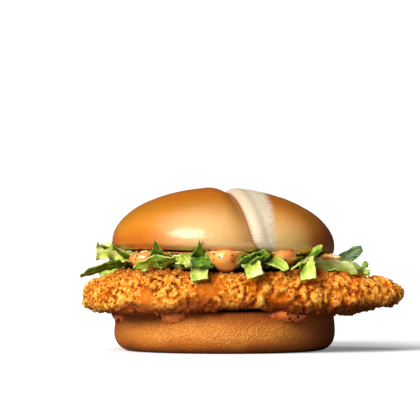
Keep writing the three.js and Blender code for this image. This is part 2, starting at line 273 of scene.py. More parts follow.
def settle(shader, values):
    """Sets the sockets that stay the same all over a surface."""
    for name, value in values.items():
        shader.inputs[name].default_value = value


def dress(material, *pieces):
    """Gives a finish to pieces."""
    for piece in pieces:
        piece.data.materials.append(material)
    print(material.name, "has", len(material.node_tree.nodes), "nodes")


# %% [markdown]
# ## Two shared effects
# All food is blotchy, and all of it has a fine grain. Each effect is one node group with named sockets, built
# once and placed in every material with its own values. Both read Object coordinates, which stay on the
# piece wherever the camera stands.

# %% Blotches and grain as node groups
WAVES_SLOWER = 0.22


def new_group(name, inputs, output):
    """An empty group, with its network, its inputs and outputs, and the place on the piece."""
    group = bpy.data.node_groups.new(name, "ShaderNodeTree")
    for socket, value in inputs.items():
        made = group.interface.new_socket(socket, in_out="INPUT", socket_type="NodeSocketFloat")
        made.default_value = value
    group.interface.new_socket(output, in_out="OUTPUT", socket_type="NodeSocketFloat")
    network = Network(group)
    entry = network.add("NodeGroupInput")
    leave = network.add("NodeGroupOutput")
    return group, network, entry.outputs, leave.inputs, network.place()


def blotches_group():
    """A mask of soft patches, Size metres across and more or less sharp at their edges."""
    inputs = {"Size": 0.01, "Sharpness": 0.5, "Detail": 3.0}
    group, network, given, result, place = new_group("blotches", inputs, "Mask")
    scale = network.maths("DIVIDE", 1.0, given["Size"])
    sockets = {"Vector": place, "Scale": scale, "Detail": given["Detail"], "Roughness": 0.55}
    patches = network.add("ShaderNodeTexNoise", sockets).outputs["Fac"]
    reach = network.maths("MULTIPLY_ADD", given["Sharpness"], -0.22, 0.25)
    low = network.maths("SUBTRACT", 0.5, reach)
    high = network.maths("ADD", 0.5, reach)
    network.feed(result["Mask"], network.ranged(patches, low, high))
    return group


def grain_group():
    """A height for a bump, of pores or crumbs Size metres across laid over slower waves."""
    inputs = {"Size": 0.001, "Waves": 0.4}
    group, network, given, result, place = new_group("grain", inputs, "Height")
    scale = network.maths("DIVIDE", 1.0, given["Size"])
    slow_scale = network.maths("MULTIPLY", scale, WAVES_SLOWER)
    fine_sockets = {"Vector": place, "Scale": scale, "Detail": 2.0}
    slow_sockets = {"Vector": place, "Scale": slow_scale, "Detail": 3.0}
    fine = network.add("ShaderNodeTexNoise", fine_sockets).outputs["Fac"]
    slow = network.add("ShaderNodeTexNoise", slow_sockets).outputs["Fac"]
    network.feed(result["Height"], network.maths("MULTIPLY_ADD", slow, given["Waves"], fine))
    return group


BLOTCHES = blotches_group()
GRAIN = grain_group()


def blotches(network, size, sharpness=0.5, detail=3.0):
    """The shared blotches as a mask, with their size in millimetres."""
    sockets = {"Size": size * MM, "Sharpness": sharpness, "Detail": detail}
    return network.add("ShaderNodeGroup", sockets, node_tree=BLOTCHES).outputs["Mask"]


def grained(network, shader, size, depth, waves=0.4, strength=0.6):
    """A bump of the shared grain, with its depth and size in millimetres."""
    grain = network.add("ShaderNodeGroup", {"Size": size * MM, "Waves": waves}, node_tree=GRAIN)
    sockets = {"Height": grain.outputs["Height"], "Distance": depth * MM, "Strength": strength}
    bump = network.add("ShaderNodeBump", sockets)
    network.feed(shader.inputs["Normal"], bump.outputs["Normal"])


print("shared groups:", BLOTCHES.name, GRAIN.name)

# %% [markdown]
# ## The heel
# The heel is the bottom half of the bun. Its foot is round because the dough rose on a flat tray, its side is
# nearly upright, and its top was cut level with a knife. A bevelled cylinder would give an even edge all
# round, but a baked foot curves slowly, so its outline is drawn once and spun about the middle.

# %% Heel shape
HEEL_FOOT = 8.5
HEEL_CUT_EDGE = 2.0
HEEL_BELLY = 0.6
HEEL_STEPS = 220
low, high = in_mm("heel")
HEEL_HEIGHT = high[2]
BUN_RADIUS = (high[1] - low[1]) / 2 - HEEL_BELLY
HEEL_SWELL = 0.35
HEEL_SWELL_SIZE = 16
HEEL_FREE_HEIGHT = (0.5, 5)
HEEL_FREE_OUT = (40, 52)


def curve(*corners, steps):
    """Points along a Bezier curve, with its ends left to the lines beside it."""
    return geometry.interpolate_bezier(*[Vector((x, 0, z)) for x, z in corners], steps)


def heel_outline():
    foot = curve(
        (BUN_RADIUS - HEEL_FOOT, 0),
        (BUN_RADIUS - HEEL_FOOT * 0.4, 0),
        (BUN_RADIUS + HEEL_BELLY, HEEL_FOOT * 0.35),
        (BUN_RADIUS + HEEL_BELLY, HEEL_FOOT * 1.2),
        steps=20,
    )
    side_top = HEEL_HEIGHT - HEEL_CUT_EDGE
    edge = curve(
        (BUN_RADIUS, side_top),
        (BUN_RADIUS, side_top + HEEL_CUT_EDGE * 0.6),
        (BUN_RADIUS - HEEL_CUT_EDGE * 0.4, HEEL_HEIGHT),
        (BUN_RADIUS - HEEL_CUT_EDGE, HEEL_HEIGHT),
        steps=8,
    )
    inside = [Vector((BUN_RADIUS * share, 0, 0)) for share in (0, 0.3, 0.6)]
    above = [Vector((BUN_RADIUS * share, 0, HEEL_HEIGHT)) for share in (0.9, 0.75, 0.5, 0.25, 0)]
    side = [foot[-1].lerp(edge[0], share) for share in (0.2, 0.4, 0.6, 0.8)]
    return [*inside, *foot, *side, *edge, *above]


def heel_mesh():
    bm = bmesh.new()
    outline = [bm.verts.new(point) for point in heel_outline()]
    chain = [bm.edges.new(pair) for pair in zip(outline, outline[1:])]
    bmesh.ops.spin(
        bm, geom=[*outline, *chain], cent=(0, 0, 0), axis=(0, 0, 1), angle=math.tau,
        steps=HEEL_STEPS, use_merge=True,
    )
    bmesh.ops.remove_doubles(bm, verts=bm.verts, dist=0.01)
    bmesh.ops.recalc_face_normals(bm, faces=bm.faces)
    points = points_of(bm)
    out = np.hypot(points[:, 0], points[:, 1])
    free = smooth_step(points[:, 2], *HEEL_FREE_HEIGHT) * smooth_step(out, *HEEL_FREE_OUT)
    swell = HEEL_SWELL * uneven(points, HEEL_SWELL_SIZE) * free
    outward = points * [1, 1, 0] / (np.linalg.norm(points[:, :2], axis=1, keepdims=True) + 0.01)
    move_to(bm, points + outward * swell[:, None])
    return mesh_of(bm, "heel_crust")


heel = finished("heel_crust", heel_mesh(), "heel")
print("heel", round(HEEL_HEIGHT, 1), "mm high and", round(2 * BUN_RADIUS, 1), "mm wide")

# %% [markdown]
# The heel's crust is matt and finely dimpled, darkest at its foot, where it stood on the hot tray, and painted
# darker at its top as painted shade under the fillet. The height above the plate drives the colour, and soft
# blotches keep it from looking sprayed on. Both ends are painted darker than the middle as painted shade, the
# right one most.

# %% Heel finish
HEEL_RIGHT_SHADE = (22, 54)
HEEL_LEFT_SHADE = (-34, -60)
FRECKLE_SIZE = 1.1
FRECKLE_SHARE = 0.42


def heel_material():
    material, network, shader = new_material("heel_bread")
    axes = network.axes()
    wobble = network.maths("MULTIPLY_ADD", blotches(network, 14, 0.2), 2.5 * MM, axes["Z"])
    # The ramp's top stop is painted shade under the fillet.
    crust = network.ramp(
        network.ranged(wobble, 0.0, HEEL_HEIGHT * MM),
        (0.0, (140, 66, 14)),
        (0.2, (212, 118, 36)),
        (0.48, (238, 150, 62)),
        (0.8, (228, 138, 50)),
        (1.0, (176, 88, 22)),
    )
    # Both ends are painted darker as painted shade, the right one most.
    shade_right_end = network.ranged(axes["X"], *mm(*HEEL_RIGHT_SHADE), 0.0, 0.95)
    shade_left_end = network.ranged(axes["X"], *mm(*HEEL_LEFT_SHADE), 0.0, 0.7)
    crust = network.mixed(shade_left_end, crust, paint(170, 84, 20))
    crust = network.mixed(shade_right_end, crust, paint(136, 62, 14))
    freckles = network.maths("MULTIPLY", blotches(network, FRECKLE_SIZE, 0.6, 2.0), FRECKLE_SHARE)
    network.feed(shader.inputs["Base Color"], network.mixed(freckles, crust, paint(168, 86, 24)))
    settle(shader, {"Roughness": 0.62, "Specular IOR Level": 0.2})
    grained(network, shader, size=0.9, depth=0.9, waves=0.3, strength=0.9)
    return material


dress(heel_material(), heel)

# %% [markdown]
# ## The crown
# The crown rose in two lobes of dough that grew into each other. They meet in a crease: the left lobe ends in
# a sharp edge, and the right one keeps a pale band where the glaze never reached. The crease could be cut
# with a boolean, but dough folds softly, so the ball's points sink towards it by a formula instead.
# Two numbers are kept at each point for the baking: how far it lies across the crease, and how low it lies.

# %% Crown shape
CROWN_RADIUS = 55.5
CROWN_SEAT = Vector((-1.2, 0, 48.3))
CROWN_LEAN = (math.radians(-1.5), math.radians(2))
CROWN_RIM = 5.0
CROWN_RISE = 28.0
CROWN_TUCK = 6.6
CROWN_FULLNESS = 1.93
CROWN_TUCK_FULLNESS = 4.0
CROWN_UNEVEN = 0.5
CREASE_DEPTH = 3.3
CREASE_SHOULDER = 10.0
CREASE_PALE_SIDE = 6.0
CREASE_TURN = 11.0
CREASE_TWIST = 5.0
FOLD_DEPTH = 0.16
FOLD_REACH = 2.4
FOLD_COUNT = 150
CROWN_WRINKLES = ((0.12, 9, 3), (0.05, 2.2, 2))
CROWN_PLACE = Matrix.Translation(CROWN_SEAT)
CROWN_PLACE = CROWN_PLACE @ Matrix.Rotation(CROWN_LEAN[0], 4, "X") @ Matrix.Rotation(CROWN_LEAN[1], 4, "Y")


def crease_sink(across):
    width = np.where(across < 0, CREASE_SHOULDER, CREASE_PALE_SIDE)
    return CREASE_DEPTH * np.clip(1 - np.abs(across) / width, 0, None) ** 2


def lowness_of(ways):
    """0 at the top of a ball, 1 at its widest and 2 at its foot."""
    return np.arccos(np.clip(ways[:, 2], -1, 1)) / (math.pi / 2)


def crown_points(ways):
    """The crown's skin above its cut face, with the crease turned a little towards the front right."""
    upper = ways[:, 2] >= 0
    out, up = pillow(ways, np.where(upper, CROWN_FULLNESS, CROWN_TUCK_FULLNESS))
    turn = np.radians(CREASE_TURN + CREASE_TWIST * lowness_of(ways) ** 2)
    bearing = np.arctan2(ways[:, 1], ways[:, 0]) + turn
    lumps = CROWN_UNEVEN * np.sin(3 * bearing + 1) * out
    sink = crease_sink(ways[:, 0] * CROWN_RADIUS) - lumps
    slope = np.stack([out * CROWN_RISE, np.where(upper, up * CROWN_RADIUS, 0)], axis=1)
    slope /= np.linalg.norm(slope, axis=1, keepdims=True)
    radius = out * CROWN_RADIUS - sink * slope[:, 0]
    height = CROWN_RIM + up * np.where(upper, CROWN_RISE, CROWN_TUCK) - sink * slope[:, 1]
    return np.stack([radius * np.cos(bearing), radius * np.sin(bearing), height], axis=1)


def crown_mesh():
    bm = ball(10, 10)
    ways = points_of(bm)
    points = crown_points(ways)
    marks = {"across": ways[:, 0] * CROWN_RADIUS, "lowness": lowness_of(ways)}
    by_crease = np.where(marks["across"] > 0, np.exp(-np.abs(marks["across"]) / FOLD_REACH), 0)
    folds = FOLD_DEPTH * by_crease * np.sin(FOLD_COUNT * marks["lowness"] + 3 * uneven(points, 4))
    wrinkles = sum(depth * uneven(points, size, octaves) for depth, size, octaves in CROWN_WRINKLES) + folds
    move_to(bm, points + ways * wrinkles[:, None])
    mark_points(bm, marks)
    everything = [*bm.verts, *bm.edges, *bm.faces]
    cut = bmesh.ops.bisect_plane(
        bm, geom=everything, plane_co=(0, 0, 0), plane_no=(0, 0, 1), clear_inner=True,
    )
    rim = [item for item in cut["geom_cut"] if isinstance(item, bmesh.types.BMEdge)]
    face = bmesh.ops.contextual_create(bm, geom=rim)["faces"]
    bmesh.ops.inset_region(bm, faces=face, thickness=1.5, depth=0)
    bmesh.ops.transform(bm, matrix=CROWN_PLACE, verts=bm.verts)
    return mesh_of(bm, "crown_crust")


crown = finished("crown_crust", crown_mesh(), "crown")

# %% [markdown]
# A glazed crust is golden where the oven reached it least, deep orange on top, and nearly white in the band.
# The two numbers kept on the mesh place those colours, so that they follow the dough and not the camera.
# Three spots on the shown side are painted paler as painted light, the lowest partly as the dough's own paler
# colour, and the right end is painted brown as painted shade. A painted shadow darkens the crease and the band
# beside it.
# The spots have places of their own.

# %% Crown finish
LIT_PALE_SPOTS = (
    ((-7, -55, 47), 38, paint(232, 192, 126)),
    ((30, -44, 63), 25, paint(240, 152, 60)),
    ((29, -49, 50), 29, paint(255, 212, 134)),
)
PALE_CORE = 4
PALE_SHARE = 0.82
CROWN_RIGHT_SHADE = (38, 55)
BAND_WIDTH = 20.5
BAND_NARROWING = 9.5
BAND_CREASE_SHADE = (6.0, 9.5)
CREASE_SHADE_WIDTH = (0.1, 1.5)


def glaze(network, lowness):
    """The colour all over as if there were no band, with painted light in three spots and painted shade at the
    right.
    """
    wobble = network.maths("MULTIPLY_ADD", blotches(network, 18, 0.2), 0.16, lowness)
    glazed = network.ramp(
        network.maths("SUBTRACT", wobble, 0.08),
        (0.0, (194, 96, 2)),
        (0.35, (196, 108, 4)),
        (0.62, (190, 114, 10)),
        (0.86, (208, 128, 28)),
        (1.0, (200, 106, 24)),
    )
    # Each spot paints light on the shown side; the lowest is partly the dough's own paler colour.
    for spot, reach, tint in LIT_PALE_SPOTS:
        glazed = network.mixed(network.near(spot, PALE_CORE, reach, PALE_SHARE), glazed, tint)
    # The right end is painted darker as painted shade.
    shade_right_side = network.ranged(network.axes()["X"], *mm(*CROWN_RIGHT_SHADE), 0.0, 0.95)
    return network.mixed(shade_right_side, glazed, paint(170, 66, 2))


def band_mask(network, across, lowness, fine):
    """1 in the pale band, which starts at the crease, has a ragged far edge and narrows downwards."""
    ragged = network.maths("MULTIPLY_ADD", fine, 1.6, across)
    width = network.maths("MULTIPLY_ADD", lowness, -BAND_NARROWING, BAND_WIDTH)
    inside = network.ranged(network.maths("SUBTRACT", ragged, width), -2.2, 3.4, 1.0, 0.0)
    return network.maths("MULTIPLY", inside, network.ranged(across, 0.05, 0.7))


def crown_material():
    material, network, shader = new_material("crown_bread")
    across = network.mark("across")
    lowness = network.mark("lowness")
    fine = blotches(network, 2.4, 0.2)
    band = band_mask(network, across, lowness, fine)
    # The band is painted darker near the crease as painted shade.
    plain = network.mixed(network.ranged(across, *BAND_CREASE_SHADE), paint(210, 190, 160), paint(240, 222, 192))
    pale = network.mixed(network.maths("MULTIPLY", fine, 0.5), plain, paint(212, 188, 152))
    dough = network.mixed(band, glaze(network, lowness), pale)
    # A painted shadow along the crease.
    crease_shade = network.ranged(network.maths("ABSOLUTE", across), *CREASE_SHADE_WIDTH, 0.7, 0.0)
    network.feed(shader.inputs["Base Color"], network.mixed(crease_shade, dough, paint(134, 76, 28)))
    network.feed(shader.inputs["Roughness"], network.maths("MULTIPLY_ADD", band, 0.28, 0.31))
    settle(shader, {"Specular IOR Level": 0.75, "Specular Tint": paint(255, 248, 236)})
    grained(network, shader, size=0.75, depth=0.12, waves=1.2, strength=0.5)
    return material


dress(crown_material(), crown)

# %% [markdown]
# ## The fillet
# Under the crumb the chicken is a flat teardrop that droops where it passes the edge of the bread. Fried
# crumb is a crowd of nubs of many sizes that have baked into one crust. Displacing a smooth surface gives
# hills but no overhangs, so real nubs are strewn over the fillet instead and melted into one skin.

# %% Fillet body
FILLET_TAPER = 0.24
FILLET_MIDDLE = 31.5
FILLET_HALF_THICK = 9.0
FILLET_BULGE = 0.06
FILLET_FULLNESS = 7.0
FILLET_END_FULLNESS = 3.6
FILLET_THIN_END = 0.34
FILLET_THIN_FROM = (45, 88)
FILLET_ENDS = (0.75, 1)
FILLET_SHIFT = 9.6
FILLET_LENGTH = 157.5
FILLET_WIDTH = 111.0
DROOP = 4.0
DROOP_FROM = 53.2
DROOP_SOFT = 4.0
DROOP_LEVEL = 380.0
PRESSED_ABOVE = (49, 56)
PRESSED_BELOW = (55, 62)
BODY_SWELL = 0.9
BODY_SINK = 0.3
BODY_FACING = 9


def fillet_points(ways, swell):
    """The fillet's surface, swollen outwards by so much."""
    bearing = np.arctan2(ways[:, 1], ways[:, 0])
    endness = smooth_step(np.abs(np.cos(bearing)), *FILLET_ENDS)
    out, up = pillow(ways, lerp(FILLET_FULLNESS, FILLET_END_FULLNESS, endness))
    taper = 1 - FILLET_TAPER * np.cos(bearing)
    x = FILLET_SHIFT + out * (FILLET_LENGTH / 2 + swell) * np.cos(bearing)
    y = out * (FILLET_WIDTH / 2 + swell) * np.sin(bearing) * taper * (1 - FILLET_BULGE * up)
    thick = FILLET_HALF_THICK * (1 - FILLET_THIN_END * smooth_step(x, *FILLET_THIN_FROM))
    beyond = np.clip(np.hypot(x, y) - DROOP_FROM, 0, None)
    droop = DROOP * (1 - np.exp(-beyond / DROOP_SOFT)) * (1 - x / DROOP_LEVEL)
    return np.stack([x, y, FILLET_MIDDLE - droop + up * (thick + swell)], axis=1)


def freedom(points, facing_up):
    """0 where bread or the heap presses on the crust, 1 where it stands free."""
    out = np.hypot(points[:, 0], points[:, 1])
    above = smooth_step(out, *PRESSED_ABOVE)
    below = smooth_step(out, *PRESSED_BELOW)
    return lerp(below, above, smooth_step(facing_up, -0.3, 0.3))


def fillet_body():
    bm = ball(8, 6)
    ways = points_of(bm)
    swell = BODY_SWELL * freedom(fillet_points(ways, 0), ways[:, 2] * BODY_FACING) - BODY_SINK
    move_to(bm, fillet_points(ways, swell))
    bmesh.ops.triangulate(bm, faces=bm.faces)
    return mesh_of(bm, "fillet_body")


body_mesh = fillet_body()
print("fillet body has", len(body_mesh.polygons), "faces")

# %% [markdown]
# Strewing needs three steps: pick places evenly by area, turn and stretch a small shape at each place, and
# join the copies into one mesh. The same three steps serve for nubs, crumbs and flecks later.

# %% Strewing small shapes
CHANCE = np.random.default_rng(20)


def arrays_of(mesh):
    points = np.empty(len(mesh.vertices) * 3)
    mesh.vertices.foreach_get("co", points)
    mesh.calc_loop_triangles()
    corners = np.empty(len(mesh.loop_triangles) * 3, dtype=np.int32)
    mesh.loop_triangles.foreach_get("vertices", corners)
    return points.reshape(-1, 3), corners.reshape(-1, 3)


def normals_of(mesh):
    return np.array([vert.normal for vert in mesh.vertices])


def marked(mesh, name, values):
    """Keeps a number on each point of a mesh, which a material can read by its name."""
    layer = mesh.attributes.new(name, "FLOAT", "POINT")
    layer.data.foreach_set("value", np.asarray(values, dtype=np.float32))


def places_on(mesh, count, weight):
    """Places spread over a mesh, evenly for its area times weight(points, normals), with their normals."""
    points, corners = arrays_of(mesh)
    a, b, c = (points[corners[:, i]] for i in range(3))
    normals = np.cross(b - a, c - a)
    area = np.linalg.norm(normals, axis=1)
    normals /= area[:, None] + 1e-12
    total = np.cumsum(area * weight((a + b + c) / 3, normals))
    picked = np.searchsorted(total, (np.arange(count) + CHANCE.random(count)) / count * total[-1])
    along = np.sqrt(CHANCE.random(count))[:, None]
    beside = CHANCE.random(count)[:, None]
    spots = (1 - along) * a[picked] + along * (1 - beside) * b[picked] + along * beside * c[picked]
    return spots, normals[picked]


def pebble(divisions, roughness):
    """A small ball, knocked out of round."""
    bm = bmesh.new()
    bmesh.ops.create_icosphere(bm, subdivisions=divisions, radius=1)
    points = points_of(bm)
    move_to(bm, points * (1 + roughness * uneven(points, 0.9, away=roughness))[:, None])
    return mesh_of(bm, "pebble")


def strewn(shape, spots, sizes, marks=None):
    """Copies of a shape, each turned at random, with half sizes of its own along its three axes."""
    points, corners = arrays_of(shape)
    turns = [Euler(angles).to_matrix() for angles in CHANCE.uniform(0, math.tau, (len(spots), 3))]
    copies = np.einsum("nij,npj->npi", np.array(turns), points[None] * sizes[:, None, :])
    copies += spots[:, None, :]
    faces = corners[None] + (np.arange(len(spots)) * len(points))[:, None, None]
    mesh = bpy.data.meshes.new("strewn")
    mesh.from_pydata(copies.reshape(-1, 3).tolist(), [], faces.reshape(-1, 3).tolist())
    for name, values in (marks or {}).items():
        marked(mesh, name, np.repeat(values, len(points)))
    return mesh


def melted(meshes, voxel):
    """Meshes that overlap, melted into one skin of even faces."""
    bm = bmesh.new()
    for mesh in meshes:
        bm.from_mesh(mesh)
    lump = bpy.data.objects.new("lump", mesh_of(bm, "lump"))
    bpy.context.scene.collection.objects.link(lump)
    remesh = lump.modifiers.new("melt", "REMESH")
    remesh.mode = "VOXEL"
    remesh.voxel_size = voxel
    skin = bpy.data.meshes.new_from_object(lump.evaluated_get(bpy.context.evaluated_depsgraph_get()))
    bpy.data.objects.remove(lump)
    return skin


print("pebble has", len(pebble(2, 0.2).polygons), "faces")

# %% [markdown]
# The nubs come in three sizes. Slow noise decides where they pile up into crags and where they thin out to
# the smooth amber patches that batter leaves, and the six largest crags have places of their own.

# %% Fillet crust
NUBS = ((300, 2.0, 3.0), (1700, 1.2, 2.0), (3600, 0.7, 1.2))
NUB_ROUGHNESS = 0.4
NUB_SINK = 0.35
NUB_STRETCH = (0.5, 1.35)
COARSE_FROM = (-5, 35)
COARSE_UNTIL = (66, 80)
COARSE_LEAST = 0.78
COARSE_MORE = 0.4
PILE_HEIGHT = 1.5
PILE_SIZE = 11
CRAGS = (
    (78, -6, 34, 6.5, 3.4),
    (57, -20, 38, 9, 2.6),
    (38, -44, 37, 8, 3.0),
    (-58, -16, 37, 9, 2.6),
    (-66, -12, 35, 9, 2.8),
    (-30, -50, 35, 9, 2.6),
)
SMOOTH_PATCHES = (
    (-11, -58, 30, 8),
    (-5, -58, 35, 6),
    (17, -57, 33, 7),
    (25, -54, 27, 8),
    (-38, -52, 24, 8),
    (62, -24, 24, 8),
    (10, 58, 28, 12),
    (-45, 40, 30, 9),
)
BATTER_FROM = (0.42, 0.7)
CRUST_VOXEL = 0.74
CELL_SIZE = 2.3
CELL_DEPTH = 0.5
CELL_MIDDLE = 0.45
ROUGH_SIZE = 1.5
ROUGH_DEPTH = 0.3
CRUMBS = 5200


def batter(spots):
    """1 in the middle of the patches where smooth batter shows between the crumbs, 0 away from them."""
    slow = uneven(spots, 9, away=14)
    smooth = smooth_step(slow, *BATTER_FROM)
    for x, y, z, reach in SMOOTH_PATCHES:
        away = np.linalg.norm(spots - [x, y, z], axis=1) + 4 * slow
        smooth = np.maximum(smooth, 1 - smooth_step(away, 0.45 * reach, reach))
    return smooth


def pile_height(spots):
    """How high the crumb piles up at each place, in mm."""
    pile = PILE_HEIGHT * np.clip(uneven(spots, PILE_SIZE, away=3) + 0.15, 0, None)
    for x, y, z, reach, height in CRAGS:
        near = 1 - ((spots - [x, y, z]) ** 2).sum(axis=1) / reach**2
        pile = np.maximum(pile, height * np.sqrt(np.clip(near, 0, None)))
    return pile


def free_weight(points, normals):
    """How thickly nubs and crumbs are strewn: hardly where the crust is pressed or where batter shows."""
    return freedom(points, normals[:, 2]) * (1 - 0.9 * batter(points)) + 0.003


def coarseness(spots):
    """The nubs' share of their full size, which is largest right of the middle."""
    x = spots[:, 0]
    return COARSE_LEAST + COARSE_MORE * smooth_step(x, *COARSE_FROM) * (1 - smooth_step(x, *COARSE_UNTIL))


def nubs():
    shape = pebble(2, NUB_ROUGHNESS)
    for count, small, large in NUBS:
        spots, normals = places_on(body_mesh, count, free_weight)
        radius = CHANCE.uniform(small, large, count) * coarseness(spots)
        lift = pile_height(spots) * CHANCE.uniform(0.3, 1, count) - NUB_SINK * radius
        lift *= freedom(spots, normals[:, 2])
        sizes = radius[:, None] * CHANCE.uniform(*NUB_STRETCH, (count, 3))
        yield strewn(shape, spots + normals * lift[:, None], sizes)


def crust_mesh():
    skin = melted([body_mesh, *nubs()], CRUST_VOXEL)
    points, _ = arrays_of(skin)
    normals = normals_of(skin)
    free = freedom(points, normals[:, 2])
    cells = np.array([noise.voronoi(Vector(p) / CELL_SIZE)[0][0] for p in points])
    rough = CELL_DEPTH * (CELL_MIDDLE - cells) + ROUGH_DEPTH * uneven(points, ROUGH_SIZE, 2, away=5)
    points += normals * (rough * free * (1 - 0.8 * batter(points)))[:, None]
    skin.vertices.foreach_set("co", points.ravel())
    return skin


def standing_out(mesh, rounds):
    """How far each point stands out of its surroundings: above 0 on tips and below 0 in nooks."""
    points, _ = arrays_of(mesh)
    ends = np.array([edge.vertices[:] for edge in mesh.edges])
    one, other = np.concatenate([ends, ends[:, ::-1]]).T
    count = np.bincount(one, minlength=len(points))
    soft = points.copy()
    for _ in range(rounds):
        soft = np.stack([np.bincount(one, soft[other, i], len(points)) for i in range(3)], axis=1)
        soft /= count[:, None]
    return ((points - soft) * normals_of(mesh)).sum(axis=1)


crust = crust_mesh()
marked(crust, "tips", standing_out(crust, 3) + 0.4 * standing_out(crust, 16))
marked(crust, "batter", batter(arrays_of(crust)[0]))
crust_spots = places_on(crust, CRUMBS, free_weight)
fillet = finished("fillet_crust", crust, "fillet")

# %% [markdown]
# Loose crumbs and a few specks of pepper sit on the crust. They are the small hard glints of the photo, and
# each has only a few faces.

# %% Crumbs on the crust
CRUMB_RADIUS = (0.28, 0.62)
CRUMB_STRETCH = (0.5, 1.3)
CRUMB_LIFT = 0.1


def crumbs_mesh():
    spots, normals = crust_spots
    radius = CHANCE.uniform(*CRUMB_RADIUS, CRUMBS)
    sizes = radius[:, None] * CHANCE.uniform(*CRUMB_STRETCH, (CRUMBS, 3))
    return strewn(pebble(1, 0.5), spots + normals * CRUMB_LIFT, sizes, {"tone": CHANCE.random(CRUMBS)})


crumbs = finished("fillet_crumbs", crumbs_mesh())

# %% [markdown]
# Fried crust here is amber on its slopes, painted pale gold on its tips as painted light and dark brown in its
# nooks as painted shade. How far a point stands out of its surroundings was measured on the mesh above, and
# here it picks the colour. The crust is also painted darker as painted shade under the lettuce, in one pocket
# beside it and along its lower side, and painted lighter and redder to the right as painted light.

# %% Crust finish
UNDERSIDE_SHADE_LINE = (24, 30)
UNDERSIDE_SHADE_DIP_AT = (-46, -64)
UNDERSIDE_SHADE_DIP = 5
TIP_REACH = 0.55
LETTUCE_SHADE_LINE = (37, 41.5)
POCKET_SHADE_SPOT = (61, -24, 37)
POCKET_SIZE = (3, 10)
PALER_TO_RIGHT = (20, 50)
RIGHT_PAINTED_LIGHT = (5, 65)


def crust_colours(network, share):
    return network.ramp(
        share,
        (0.0, (104, 32, 2)),
        (0.26, (176, 74, 6)),
        (0.5, (222, 122, 18)),
        (0.76, (240, 154, 44)),
        (1.0, (252, 190, 86)),
    )


def shaded_below(network, colour, patches):
    """A colour painted darker below a line as painted shade on the underside, the line sinking towards the
    fillet's left end.
    """
    axes = network.axes()
    dipped = network.ranged(axes["X"], *mm(*UNDERSIDE_SHADE_DIP_AT), 0.0, UNDERSIDE_SHADE_DIP * MM)
    broken = network.maths("MULTIPLY_ADD", patches, 3 * MM, network.maths("ADD", axes["Z"], dipped))
    return network.mixed(network.ranged(broken, *mm(*UNDERSIDE_SHADE_LINE), 0.95, 0.0), colour, paint(110, 36, 4))


def crust_material():
    material, network, shader = new_material("fried_crust")
    axes = network.axes()
    # Tips are painted paler as painted light and nooks darker as painted shade.
    tips = network.ranged(network.mark("tips"), -TIP_REACH, TIP_REACH)
    bare = network.maths("MULTIPLY", network.mark("batter"), 0.75)
    patches = blotches(network, 10, 0.5)
    small = blotches(network, 2.0, 0.3)
    share = network.maths("MULTIPLY_ADD", patches, 0.36, tips)
    share = network.maths("MULTIPLY_ADD", small, 0.2, share)
    share = network.maths("SUBTRACT", share, 0.24)
    share = network.maths("ADD", share, network.ranged(axes["X"], *mm(*PALER_TO_RIGHT), 0.0, 0.14))
    amber = network.mixed(small, paint(188, 80, 2), paint(216, 116, 14))
    colour = network.mixed(bare, crust_colours(network, share), amber)
    height = network.maths("MULTIPLY_ADD", small, 2 * MM, axes["Z"])
    # Below the lettuce the crust is painted darker as painted shade.
    lettuce_shade = network.ranged(height, *mm(*LETTUCE_SHADE_LINE), 0.0, 0.8)
    colour = network.mixed(lettuce_shade, colour, paint(128, 44, 6))
    # A painted shadow in one pocket beside the lettuce.
    colour = network.mixed(network.near(POCKET_SHADE_SPOT, *POCKET_SIZE, 0.8), colour, paint(120, 42, 4))
    # Painted light: the crust is made lighter and redder to the right.
    right_painted_light = network.ranged(axes["X"], *mm(*RIGHT_PAINTED_LIGHT), 0.0, 0.8)
    colour = network.mixed(right_painted_light, colour, paint(160, 62, 4), blend="ADD")
    # The lower side is painted darker as painted shade.
    network.feed(shader.inputs["Base Color"], shaded_below(network, colour, patches))
    network.feed(shader.inputs["Roughness"], network.maths("MULTIPLY_ADD", small, 0.3, 0.25))
    settle(shader, {"Specular IOR Level": 0.3, "Specular Tint": paint(255, 206, 130)})
    grained(network, shader, size=0.6, depth=0.5, waves=0.9, strength=0.8)
    return material


def crumb_material():
    material, network, shader = new_material("fried_crumbs")
    colour = network.ramp(
        network.mark("tone"),
        (0.0, (60, 20, 4)),
        (0.004, (160, 70, 8)),
        (0.3, (206, 116, 20)),
        (0.75, (232, 158, 48)),
        (1.0, (248, 200, 110)),
    )
    # Low down the crumbs are painted darker as painted shade, like the crust.
    network.feed(shader.inputs["Base Color"], shaded_below(network, colour, blotches(network, 10, 0.5)))
    settle(shader, {"Roughness": 0.3, "Specular IOR Level": 0.2})
    return material


dress(crust_material(), fillet)
dress(crumb_material(), crumbs)

# %% [markdown]
# ## The sauces
# A creamy orange sauce lies under the crown and a thin one on the heel. It hangs over the rim in heavy drips.
# Metaballs would do this too, but melted balls give exact places and sizes, and a few rounds of smoothing
# turn their seams into the soft necks that thick sauce has.

